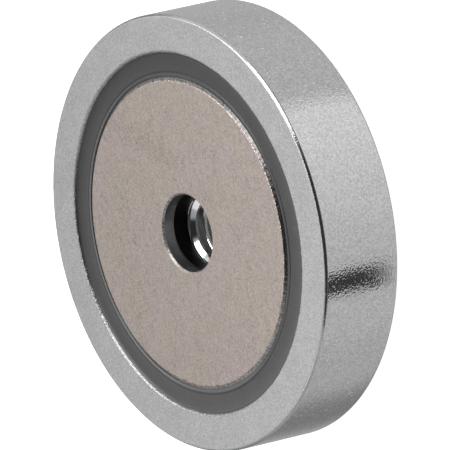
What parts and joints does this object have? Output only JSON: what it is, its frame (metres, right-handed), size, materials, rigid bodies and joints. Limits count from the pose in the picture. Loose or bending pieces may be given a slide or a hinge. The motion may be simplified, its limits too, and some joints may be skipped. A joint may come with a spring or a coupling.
{
  "type": "magnet fishing magnet",
  "caption": "Round recovery pot magnet: a zinc-plated steel cup with a nickel-plated ring magnet potted flush in its face and a tapped hole through the centre for an eyebolt.",
  "frame": {"origin": "centre of the flat back face, the face that the eyebolt screws into", "axes": "+Z along the axis of the tapped hole, from the back face to the working face; X and Y are any two diameters"},
  "size_m": [0.048, 0.048, 0.01],
  "materials": {
    "zinc_plate": "bright zinc plating with a fine matte grain on the turned wall and the ground rim",
    "nickel_plate": "satin nickel plating with a warm tint and faint circular handling marks",
    "black_glue": "glossy black cured adhesive",
    "potting_compound": "smooth dark grey epoxy potting compound"
  },
  "bodies": {
    "root": {"pot": "zinc_plate", "ring_magnet": "nickel_plate", "glue_bed": "black_glue", "potting_ring": "potting_compound"}
  },
  "joints": []
}
